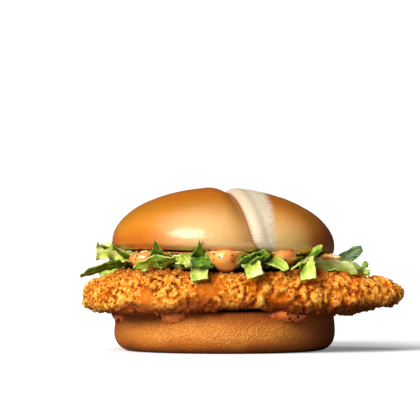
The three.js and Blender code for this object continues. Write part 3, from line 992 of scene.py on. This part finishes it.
# %% Sauce shapes
SAUCE_VOXEL = 0.6
SAUCE_ROUNDS = 4
SAUCE_GAP = 0.4
SAUCE_WAVES = 0.4
DRIP_FLARE = 0.22
FLECKS = (66, 56)
RIM_FROM = (44, 52)
RIM_FACING = (0, 0.6)
UPPER_SPREAD = (49.5, 1.8)
LOWER_SPREAD = (48.0, 0.9)
SPREAD_FULLNESS = 6.0
SPREAD_LOBES = 5
SPREAD_LOBE_DEPTH = 0.02
UPPER_DRIPS = (
    (-143, 47, 44.8, (9.5, 9, 5.2)),
    (-90, 47.5, 45.3, (8, 10, 6.2)),
    (-55, 47, 46.4, (8, 9, 4.6)),
    (-18, 47.5, 45.2, (6.5, 8.5, 3.2)),
    (34, 47, 43.6, (8.5, 8, 4.4)),
    (84, 47.5, 43.4, (9, 9, 4.8)),
    (138, 47.5, 44.4, (7.5, 8, 4.6)),
)
UPPER_SMEARS = (
    (-131, 50.5, 48.4, (9, 4, 1.5)),
    (-90, 49, 49.2, (10.5, 6, 1.6)),
    (-54, 49, 49.2, (10, 6, 1.6)),
    (-30, 60, 46.7, (1.6, 6.4, 1.5)),
)
LOWER_DRIPS = (
    (-162, 52, 18.4, (7.5, 6.4, 4.3)),
    (-118, 52.6, 19.1, (7, 6.6, 4.4)),
    (-55, 52.6, 19.1, (11.6, 6.6, 4)),
    (40, 51.2, 19.5, (9, 6, 3.2)),
    (118, 51.2, 19.5, (11, 6, 3.2)),
)
CUT_NORMAL = CROWN_PLACE.to_3x3() @ Vector((0, 0, 1))


def cut_height(x, y):
    """The height of the crown's cut face, which leans."""
    fall = CUT_NORMAL.x * (x - CROWN_SEAT.x) + CUT_NORMAL.y * (y - CROWN_SEAT.y)
    return CROWN_SEAT.z - fall / CUT_NORMAL.z


def heel_top(x, y):
    """The height of the heel's cut face, with the same gap under the sauce all over."""
    return HEEL_HEIGHT + SAUCE_GAP + 0 * x


def drip(bearing, out, height, half, flare=0.0):
    """A heavy drop, hung at a bearing round the bun, wider at its top by a share."""
    along, outward, up = half
    bm = ball(7)
    ways = points_of(bm)
    narrow = 1 + flare * ways[:, 2]
    ahead = ways[:, 1] * along * narrow
    away = out + ways[:, 0] * outward * narrow
    turn = math.radians(bearing)
    x = away * math.cos(turn) - ahead * math.sin(turn)
    y = away * math.sin(turn) + ahead * math.cos(turn)
    move_to(bm, np.stack([x, y, height + ways[:, 2] * up], axis=1))
    return mesh_of(bm, "drip")


def spread(radius, thick, face_height, below):
    """A thin layer of sauce on a face, with a lobed outline."""
    bm = ball(8, 2)
    ways = points_of(bm)
    out, up = pillow(ways, SPREAD_FULLNESS)
    bearing = np.arctan2(ways[:, 1], ways[:, 0])
    reach = out * radius * (1 + SPREAD_LOBE_DEPTH * np.sin(SPREAD_LOBES * bearing))
    x = reach * np.cos(bearing)
    y = reach * np.sin(bearing)
    middle = face_height(x, y) + (-SAUCE_GAP - thick / 2 if below else thick / 2)
    move_to(bm, np.stack([x, y, middle + thick / 2 * up], axis=1))
    return mesh_of(bm, "spread")


def smoothed(mesh, rounds):
    bm = bmesh.new()
    bm.from_mesh(mesh)
    for _ in range(rounds):
        bmesh.ops.smooth_vert(
            bm, verts=bm.verts, factor=0.5, use_axis_x=True, use_axis_y=True, use_axis_z=True,
        )
    return mesh_of(bm, mesh.name)


def sauce_mesh(parts):
    mesh = smoothed(melted(parts, SAUCE_VOXEL), SAUCE_ROUNDS)
    points, _ = arrays_of(mesh)
    points += normals_of(mesh) * (SAUCE_WAVES * uneven(points, 6, away=8))[:, None]
    mesh.vertices.foreach_set("co", points.ravel())
    return mesh


upper_drops = [drip(*row, flare=DRIP_FLARE) for row in UPPER_DRIPS] + [drip(*row) for row in UPPER_SMEARS]
upper_parts = [spread(*UPPER_SPREAD, cut_height, below=True), *upper_drops]
lower_parts = [spread(*LOWER_SPREAD, heel_top, below=False), *[drip(*row) for row in LOWER_DRIPS]]
upper_mesh = sauce_mesh(upper_parts)
lower_mesh = sauce_mesh(lower_parts)


def at_rim(points, normals):
    """How thickly flecks are strewn: only where the sauce faces outwards at the rim."""
    out = np.hypot(points[:, 0], points[:, 1])
    outward = (points[:, :2] * normals[:, :2]).sum(axis=1) / (out + 0.01)
    return smooth_step(out, *RIM_FROM) * smooth_step(outward, *RIM_FACING) + 0.001


fleck_places = [places_on(mesh, count, at_rim) for mesh, count in zip((upper_mesh, lower_mesh), FLECKS)]
upper_sauce = finished("sauce_under_crown", upper_mesh, "sauce_upper")
lower_sauce = finished("sauce_on_heel", lower_mesh, "sauce_lower")

# %% [markdown]
# Sauce is wet, so it mirrors the softboxes as small white spots, and they tell the eye that it is wet more
# than its colour does. The flecks are pepper and chilli. They are strewn where the sauce faces outwards, as
# flecks under the crown would only cost faces.

# %% Sauce finish and flecks
FLECK_RADIUS = (0.45, 1.25)
FLECK_LIFT = 0.1
REDDER_BELOW = (24, 32)


def flecks_mesh():
    spots, normals = (np.concatenate(pair) for pair in zip(*fleck_places))
    count = len(spots)
    sizes = CHANCE.uniform(*FLECK_RADIUS, (count, 1)) * CHANCE.uniform(0.5, 1.0, (count, 3))
    return strewn(pebble(1, 0.6), spots + FLECK_LIFT * normals, sizes, {"tone": CHANCE.random(count)})


flecks = finished("sauce_flecks", flecks_mesh())


def sauce_material():
    material, network, shader = new_material("orange_sauce")
    colour = network.mixed(blotches(network, 6, 0.3), paint(254, 146, 62), paint(255, 189, 100))
    # The sauce is darker and redder low down.
    redder_low = network.ranged(network.axes()["Z"], *mm(*REDDER_BELOW), 0.8, 0.0)
    network.feed(shader.inputs["Base Color"], network.mixed(redder_low, colour, paint(255, 118, 30)))
    settle(shader, {"Roughness": 0.3, "Specular IOR Level": 0.5})
    settle(shader, {"Coat Weight": 1.0, "Coat IOR": 1.8, "Coat Roughness": 0.14})
    settle(shader, {"Subsurface Weight": 0.08, "Subsurface Scale": 1 * MM})
    grained(network, shader, size=1.6, depth=0.1, waves=0.8, strength=0.4)
    return material


def fleck_material():
    material, network, shader = new_material("pepper_flecks")
    colour = network.ramp(
        network.mark("tone"),
        (0.0, (30, 6, 2)),
        (0.45, (110, 14, 4)),
        (1.0, (196, 28, 8)),
    )
    network.feed(shader.inputs["Base Color"], colour)
    settle(shader, {"Roughness": 0.4, "Specular IOR Level": 0.15})
    return material


dress(sauce_material(), upper_sauce, lower_sauce)
dress(fleck_material(), flecks)

# %% [markdown]
# ## The lettuce
# Cut lettuce is a heap of thin, ruffled strips. Each leaf here is a small flat grid, bent along a curve from
# the heap to its free end, given a midrib, side veins, a ruffled edge and torn ends, and then thickened.
# The leaves that the photo shows have places of their own, and shorter shreds fill the heap between them.

# %% Leaf tools
LEAF_THICK = 0.55
RIB_THICKER = 3.2
LEAF_RUFFLES = 2.5
LEAF_CRINKLE = 0.5
LEAF_CRIMP = 0.28
TEAR_LENGTH = 0.16
MIDRIB_HEIGHT = 0.3
MIDRIB_WIDTH = 0.16


def half_width(form, along):
    """How a leaf's half width runs from its root to its tip, for each kind of cut."""
    widths = {
        "blade": 0.3 + 0.7 * np.sin(np.pi * np.minimum(1, 0.15 + 0.8 * along)),
        "point": 1.02 - along,
        "square": 1 + 0 * along,
        "spoon": 0.28 + 0.72 * smooth_step(along, 0.3, 0.75) * (1 - 0.55 * smooth_step(along, 0.85, 1)),
        "horn": (1.02 - along) ** 1.5,
        "rib": 1 - 0.25 * along,
    }
    return widths[form]


def leaf(
    form, start, end, half, roll,
    bow=0.0, swing=0.0, ruffle=0.3, pale=0.4, shade=0.15, torn=0.16, steps=(30, 10),
):
    """One leaf with its marks. pale is 0 for a dark outer leaf and 1 for a white heart; shade tilts it across
    the strip, partly as painted shade.
    """
    bm = bmesh.new()
    bmesh.ops.create_grid(bm, x_segments=steps[0], y_segments=steps[1], size=1)
    flat = points_of(bm)
    along = (flat[:, 0] + 1) / 2
    across = flat[:, 1]
    start, end = np.array(start, float), np.array(end, float)
    middle = (start + end) / 2
    outward = middle * [1, 1, 0] / np.hypot(*middle[:2])
    middle = middle + 2 * swing * outward + [0, 0, 2 * bow]
    t = along[:, None]
    spine = (1 - t) ** 2 * start + 2 * t * (1 - t) * middle + t**2 * end
    ahead = 2 * (1 - t) * (middle - start) + 2 * t * (end - middle)
    ahead /= np.linalg.norm(ahead, axis=1, keepdims=True)
    level = np.stack([-ahead[:, 1], ahead[:, 0], 0 * along], axis=1)
    level /= np.linalg.norm(level, axis=1, keepdims=True)
    rolled = math.radians(roll)
    side = level * math.cos(rolled) + np.cross(ahead, level) * math.sin(rolled)
    face = np.cross(ahead, side)
    lot = CHANCE.uniform(0, 40)
    ragged = 1 + torn * uneven(flat * [1, 0, 0] + [0, 0, lot], TEAR_LENGTH, 2)
    width = half * half_width(form, along) * ragged
    wave = ruffle * across**2 * np.sin(2 * np.pi * LEAF_RUFFLES * along + across)
    crinkle = LEAF_CRINKLE * uneven(np.stack([along * 3, across, 0 * along + lot], axis=1), 0.5, 3)
    crimp = LEAF_CRIMP * across**2 * np.sin(38 * along + 6 * np.sin(7 * along + lot))
    rib = MIDRIB_HEIGHT * np.exp(-((across / MIDRIB_WIDTH) ** 2)) * (1 - along)
    points = spine + side * (across * width)[:, None] + face * (wave + crinkle + crimp + rib)[:, None]
    move_to(bm, points)
    # shade makes one edge paler than the other, partly as painted shade.
    mark_points(bm, {"along": along, "across": across, "pale": pale + shade * across})
    thick = LEAF_THICK * (RIB_THICKER if form == "rib" else 1)
    bmesh.ops.solidify(bm, geom=bm.faces[:], thickness=thick)
    return mesh_of(bm, "leaf")


def together(meshes):
    """Meshes joined into one, with the marks that they carry."""
    objects = [bpy.data.objects.new("part", mesh) for mesh in meshes]
    for part in objects:
        bpy.context.scene.collection.objects.link(part)
    with bpy.context.temp_override(active_object=objects[0], selected_editable_objects=objects):
        bpy.ops.object.join()
    joined = objects[0].data
    bpy.data.objects.remove(objects[0])
    return joined


# %% [markdown]
# The leaves that show are a table: the kind of cut, where the strip leaves the heap, where it ends, its half
# width and how far it is rolled. A table is easier to correct against a photo than curves drawn by hand.
# Behind them, leaves and shreds are placed by rule, with numbers that never repeat at equal distances.

# %% The leaves that show
LEAVES = (
    ("blade", (-44, -14, 44.8), (-71, -24, 37.6), 2.4, 60, dict(bow=1.3, ruffle=0.4, pale=0.05)),
    (
        "square", (-44, -11.5, 46.4), (-63.4, -20, 50.1), 4.2, 112,
        dict(bow=0.6, ruffle=2.2, pale=0.82, torn=0.35),
    ),
    ("point", (-48, -12, 46), (-61.6, -19, 52.8), 3, 80, dict(ruffle=0.2, pale=0.1)),
    ("horn", (-43, -17, 44.6), (-55.2, -27, 54.4), 2.2, 70, dict(swing=3, ruffle=0.2, pale=0.1)),
    (
        "blade", (-19, -41, 45.4), (-43.3, -40, 41.3), 3.4, 52,
        dict(bow=1.2, swing=6, ruffle=1.3, pale=0.5, shade=0),
    ),
    ("point", (-30.3, -33, 45.6), (-34, -53, 55), 8.6, 0, dict(bow=-2.5, pale=0.3)),
    ("horn", (-13.6, -41, 46.4), (-12.3, -57.5, 55.9), 9.6, 0, dict(bow=-3, pale=0.2)),
    ("square", (-18.5, -41, 46.4), (-19.4, -59, 43.8), 2.9, -12, dict(bow=2.2, ruffle=0.4, pale=0.8)),
    ("square", (-13.1, -42, 44.9), (-12.3, -59.4, 36.4), 4.4, 20, dict(bow=4, ruffle=0.5, pale=0.7)),
    ("square", (-12.6, -42, 46.4), (-11.6, -60, 42.7), 4.8, 0, dict(bow=2, ruffle=0.6, pale=0.15)),
    ("blade", (20, -40, 47.3), (5.7, -57, 43.4), 2.7, 45, dict(bow=2, swing=4, pale=0.0)),
    ("square", (14.6, -42, 46.6), (20.2, -57, 49.6), 2.3, -52, dict(bow=-0.5, ruffle=0.4, pale=0.4)),
    ("blade", (24.9, -37, 46.8), (12.4, -57, 44.6), 3, 50, dict(bow=0.5, swing=2, ruffle=0.4, pale=0.0)),
    ("square", (8.4, -44, 45.9), (14.6, -59.4, 38), 4.2, 40, dict(bow=4, ruffle=0.4, pale=0.74)),
    ("blade", (18, -42, 45), (29.6, -55, 41), 3.4, 35, dict(bow=2.5, ruffle=0.2, pale=0.6)),
    ("spoon", (36.9, -28, 45.8), (47.3, -40, 51.6), 2.7, 62, dict(ruffle=0, pale=0.3, shade=0.35)),
    ("blade", (41.5, -22, 44.7), (31.6, -52, 41.3), 1.6, 15, dict(bow=2, swing=3, ruffle=0.2, pale=0.8)),
    ("square", (39.4, -24, 44.7), (40.3, -51.5, 36.7), 3.6, 18, dict(bow=5, ruffle=0.4, pale=0.7)),
    (
        "blade", (37, -28, 44.6), (65.5, -24, 39), 4.3, 55,
        dict(bow=1.9, swing=2, ruffle=1.2, pale=0.92, shade=0.5),
    ),
    ("blade", (39, -24, 43), (62.2, -22, 38.1), 2, 40, dict(bow=0.6, pale=0.6)),
    ("blade", (45, -6, 45.1), (67.4, -15, 40.9), 2.8, 45, dict(bow=1.5, ruffle=0.6, pale=0.3)),
    ("spoon", (45.6, -3, 45), (68.2, -10, 51.1), 3.4, 60, dict(bow=-2, pale=-0.1)),
    ("rib", (45.4, -9, 44.1), (71.8, -12, 39.5), 1.5, 45, dict(bow=0.2, ruffle=0.2, pale=0.5)),
    ("spoon", (66.6, -11.2, 40.4), (70.8, -11.2, 44), 1.6, 70, dict(ruffle=0.1, pale=0.3)),
)
REAR_LEAVES = 9
REAR_ARC = (8, 172)
REAR_FORMS = ("blade", "square", "blade", "point")
REAR_STEPS = (0.6711, 0.7549, 0.5497, 0.8192, 0.4302, 0.5698, 0.618, 0.3247, 0.37)
REAR_ROOT = 40
SHREDS = 84
SHRED_OUT = (36, 45)
SHRED_LENGTH = (7, 14)
SHRED_HEIGHT = (42, 46)
SHRED_STEPS = (14, 5)
RIM_SHREDS = 60
RIM_OUT = 50
RIM_DEPTH = (1.6, 4.0)


def rear_leaf(i):
    """A leaf at the back. Each step of the table spreads its own number evenly from 0 to 1."""
    turned, far, root, tip, wide, tilted, bent, wavy, light = ((0.5 + i * step) % 1 for step in REAR_STEPS)
    bearing = math.radians(lerp(*REAR_ARC, (i + 0.5) / REAR_LEAVES))
    away = bearing + lerp(-0.3, 0.3, turned)
    outer = lerp(57, 67, far)
    start = (REAR_ROOT * math.cos(bearing), REAR_ROOT * math.sin(bearing), lerp(43, 45, root))
    end = (outer * math.cos(away), outer * math.sin(away), lerp(37, 44.5, tip))
    looks = dict(bow=lerp(0.5, 3.5, bent), ruffle=lerp(0.3, 1.2, wavy), pale=light)
    form = REAR_FORMS[i % len(REAR_FORMS)]
    return leaf(form, start, end, lerp(2.2, 5, wide), lerp(-45, 45, tilted), **looks)


def shred():
    """A short strip that fills the heap between the larger leaves."""
    bearing = CHANCE.uniform(0, math.tau)
    way = bearing + CHANCE.uniform(-1.1, 1.1)
    out, reach = CHANCE.uniform(*SHRED_OUT), CHANCE.uniform(*SHRED_LENGTH)
    height = CHANCE.uniform(*SHRED_HEIGHT)
    start = (out * math.cos(bearing), out * math.sin(bearing), height)
    end_height = height + CHANCE.uniform(-2, 1.4)
    end = (start[0] + reach * math.cos(way), start[1] + reach * math.sin(way), end_height)
    return leaf(
        "blade", start, end, CHANCE.uniform(1.2, 2.6), CHANCE.uniform(-70, 70), bow=CHANCE.uniform(0, 1),
        ruffle=CHANCE.uniform(0.3, 1), pale=CHANCE.random() ** 1.5, steps=SHRED_STEPS,
    )


def rim_shred(i):
    """A ruffled strip that closes the slit between the heap and the crown's rim."""
    bearing = math.tau * (i + CHANCE.random()) / RIM_SHREDS
    away = bearing + CHANCE.uniform(0.12, 0.2) * CHANCE.choice([-1, 1])
    out = CHANCE.uniform(48.5, 52.5)
    start = (RIM_OUT * math.cos(bearing), RIM_OUT * math.sin(bearing))
    end = (out * math.cos(away), out * math.sin(away))
    heights = [cut_height(x, y) - CHANCE.uniform(*RIM_DEPTH) for x, y in (start, end)]
    return leaf(
        "blade", (*start, heights[0]), (*end, heights[1]), CHANCE.uniform(1.4, 2.3), CHANCE.uniform(50, 110),
        ruffle=CHANCE.uniform(0.3, 0.8), pale=CHANCE.random(), steps=SHRED_STEPS,
    )


shown = [leaf(*row[:5], **row[5]) for row in LEAVES]
behind = [rear_leaf(i) for i in range(REAR_LEAVES)]
shreds = [shred() for _ in range(SHREDS)] + [rim_shred(i) for i in range(RIM_SHREDS)]
leaves = finished("lettuce_leaves", together([*shown, *behind, *shreds]), "lettuce")

# %% [markdown]
# Between the shreds the eye would see through the whole burger. A crumpled heap, painted dark as painted
# shade, closes the view. It stops short of the rim, so that only leaves form the outline.

# %% The heap under the leaves
HEAP_RADIUS = 49.5
HEAP_BOTTOM = 40.2
HEAP_CUT_GAP = 1.6
HEAP_CRUMPLE = 1.3
HEAP_CRUMPLE_SIZE = 5


def heap_mesh():
    bm = ball(6, 6)
    ways = points_of(bm)
    out, up = pillow(ways, 5)
    bearing = np.arctan2(ways[:, 1], ways[:, 0])
    reach = out * (HEAP_RADIUS - 1.5 + 1.2 * np.sin(9 * bearing) * np.cos(4 * bearing))
    x = reach * np.cos(bearing)
    y = reach * np.sin(bearing)
    points = np.stack([x, y, lerp(HEAP_BOTTOM, cut_height(x, y) - HEAP_CUT_GAP, (1 + up) / 2)], axis=1)
    crumple = HEAP_CRUMPLE * uneven(points * [1, 1, 2.5], HEAP_CRUMPLE_SIZE, 3, away=2)
    points += ways * crumple[:, None]
    move_to(bm, points)
    return mesh_of(bm, "lettuce_heap")


heap = finished("lettuce_heap", heap_mesh())

# %% [markdown]
# Each strip knows how pale it is, from a dark outer leaf to a white heart, and one edge of a strip can be
# paler than the other, partly its own tone and partly painted shade. Its rib and its torn edge are paler than
# its blade, and thin side veins run off the rib at a slant.

# %% Lettuce finish
RIB_SHARE = 0.16
EDGE_SHARE = 0.35
EDGE_FROM = (0.84, 1.0)
VEIN_SLANT = 0.16
VEIN_PACE = 70.0
VEIN_SHARE = 0.34


def leaf_material():
    material, network, shader = new_material("lettuce_leaf")
    beside = network.maths("ABSOLUTE", network.mark("across"))
    patches = blotches(network, 4, 0.3)
    heart = network.maths("MULTIPLY_ADD", patches, 0.3, network.maths("SUBTRACT", network.mark("pale"), 0.15))
    rib = network.ranged(beside, 0.05, 0.28, RIB_SHARE, 0.0)
    edge = network.ranged(beside, *EDGE_FROM, 0.0, EDGE_SHARE)
    share = network.maths("ADD", heart, network.maths("ADD", rib, edge))
    blade = network.ramp(
        share,
        (0.0, (46, 84, 20)),
        (0.3, (98, 142, 32)),
        (0.6, (164, 188, 52)),
        (0.85, (208, 218, 98)),
        (1.0, (232, 238, 150)),
    )
    slant = network.maths("MULTIPLY_ADD", beside, -VEIN_SLANT, network.mark("along"))
    stripes = network.maths("SINE", network.maths("MULTIPLY", slant, VEIN_PACE))
    vein = network.maths("MULTIPLY", network.ranged(stripes, 0.6, 1.0, 0.0, VEIN_SHARE), patches)
    network.feed(shader.inputs["Base Color"], network.mixed(vein, blade, paint(214, 226, 132)))
    settle(shader, {"Roughness": 0.38, "Specular IOR Level": 0.45})
    settle(shader, {"Subsurface Weight": 0.12, "Subsurface Scale": 1.5 * MM})
    settle(shader, {"Subsurface Radius": (0.5, 1.0, 0.3)})
    grained(network, shader, size=1.0, depth=0.16, waves=1.0, strength=0.5)
    return material


def heap_material():
    material, network, shader = new_material("lettuce_heap")
    # The heap's dark greens are painted shade between the shreds.
    colour = network.ramp(
        blotches(network, 3.5, 0.5),
        (0.0, (30, 40, 12)),
        (0.4, (62, 84, 24)),
        (0.75, (120, 140, 44)),
        (1.0, (168, 178, 74)),
    )
    network.feed(shader.inputs["Base Color"], colour)
    settle(shader, {"Roughness": 0.5})
    grained(network, shader, size=1.4, depth=0.5, waves=1.0)
    return material


dress(leaf_material(), leaves)
dress(heap_material(), heap)

# %% [markdown]
# ## Floor, light and camera
# The burger stands on a plain white floor under soft studio light: one soft light from the front left, one
# broad light from above and a faint glow all round, so that the right side falls into deep brown.
# Sun lamps with a wide angle act as large, far softboxes and light the floor evenly. A single front light
# also leaves one clear spot on the crown and on each drip, where two would leave a streak.

# %% Floor and light
FLOOR_SIZE = 6.0
SOFT_LIGHTS = (
    ("key", (0.53, 0.66, -0.47), 4.0, 33),
    ("overhead", (0.45, 0.2, -1), 1.2, 60),
)


def grey(level):
    return (level, level, level, 1.0)


def floor_piece():
    """A floor that looks white and glows a little, but throws back less light than it seems to."""
    bm = bmesh.new()
    bmesh.ops.create_grid(bm, x_segments=1, y_segments=1, size=FLOOR_SIZE)
    floor = bpy.data.objects.new("floor", mesh_of(bm, "floor"))
    bpy.context.scene.collection.objects.link(floor)
    floor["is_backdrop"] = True
    material, network, shader = new_material("white_floor")
    path = network.add("ShaderNodeLightPath").outputs
    seen = path["Is Camera Ray"]
    bounced = network.mixed(path["Is Glossy Ray"], grey(0.36), grey(0.08))
    network.feed(shader.inputs["Base Color"], network.mixed(seen, bounced, grey(0.9)))
    network.feed(shader.inputs["Emission Color"], network.mixed(seen, grey(0), grey(1)))
    settle(shader, {"Roughness": 0.9, "Specular IOR Level": 0.0, "Emission Strength": 0.2})
    dress(material, floor)


def soft_light(name, towards, strength, width):
    """A far softbox that shines along a direction, as wide as the given angle in degrees."""
    lamp = bpy.data.lights.new(name, "SUN")
    lamp.energy = strength
    lamp.angle = math.radians(width)
    light = bpy.data.objects.new(name, lamp)
    light.rotation_euler = Vector(towards).to_track_quat("-Z", "Y").to_euler()
    bpy.context.scene.collection.objects.link(light)


def studio_air():
    """A faint even glow that the camera sees as a white backdrop."""
    world = bpy.data.worlds.new("studio")
    bpy.context.scene.world = world
    world.use_nodes = True
    network = Network(world.node_tree)
    back = world.node_tree.nodes["Background"]
    settle(back, {"Color": grey(1)})
    path = network.add("ShaderNodeLightPath").outputs
    glow = network.maths("MULTIPLY_ADD", path["Is Glossy Ray"], -0.05, 0.09)
    seen = network.maths("MULTIPLY_ADD", path["Is Camera Ray"], 0.95, glow)
    network.feed(back.inputs["Strength"], seen)


floor_piece()
for light in SOFT_LIGHTS:
    soft_light(*light)
studio_air()
print("soft lights:", [name for name, *_ in SOFT_LIGHTS])

# %% [markdown]
# A long lens from far away keeps the stack's edges nearly level, as in a product photo. The camera stands
# a little lower than the crown, so that the tops of the layers stay hidden.

# %% Camera
CAMERA_ACROSS = -7.3
CAMERA_AWAY = 1500
CAMERA_PLACE = Vector((CAMERA_ACROSS, -CAMERA_AWAY, 60)) * MM
CAMERA_AIM = Vector((CAMERA_ACROSS, 0, 70)) * MM
CAMERA_SENSOR = 36.0
FRAME_WIDTH = 210.0
camera_data = bpy.data.cameras.new("camera")
camera_data.sensor_width = CAMERA_SENSOR
camera_data.lens = CAMERA_SENSOR * CAMERA_AWAY / FRAME_WIDTH
camera_data.clip_start = 0.05
camera_data.clip_end = 50
camera = bpy.data.objects.new("camera", camera_data)
camera.location = CAMERA_PLACE
camera.rotation_euler = (CAMERA_AIM - CAMERA_PLACE).to_track_quat("-Z", "Y").to_euler()
bpy.context.scene.collection.objects.link(camera)
bpy.context.scene.camera = camera
bpy.context.scene.view_settings.view_transform = "Standard"
print("camera with a lens of", round(camera_data.lens), "mm")

# %% [markdown]
# ## Finish
# The dressed burger must be no larger than the imported solids, so both boxes are shown at the end.

# %% Sizes and finish
low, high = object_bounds()
{"cad": [list(cad_low), list(cad_high)], "visual": [list(low), list(high)]}
print("visual from", [round(x, 4) for x in low], "to", [round(x, 4) for x in high])
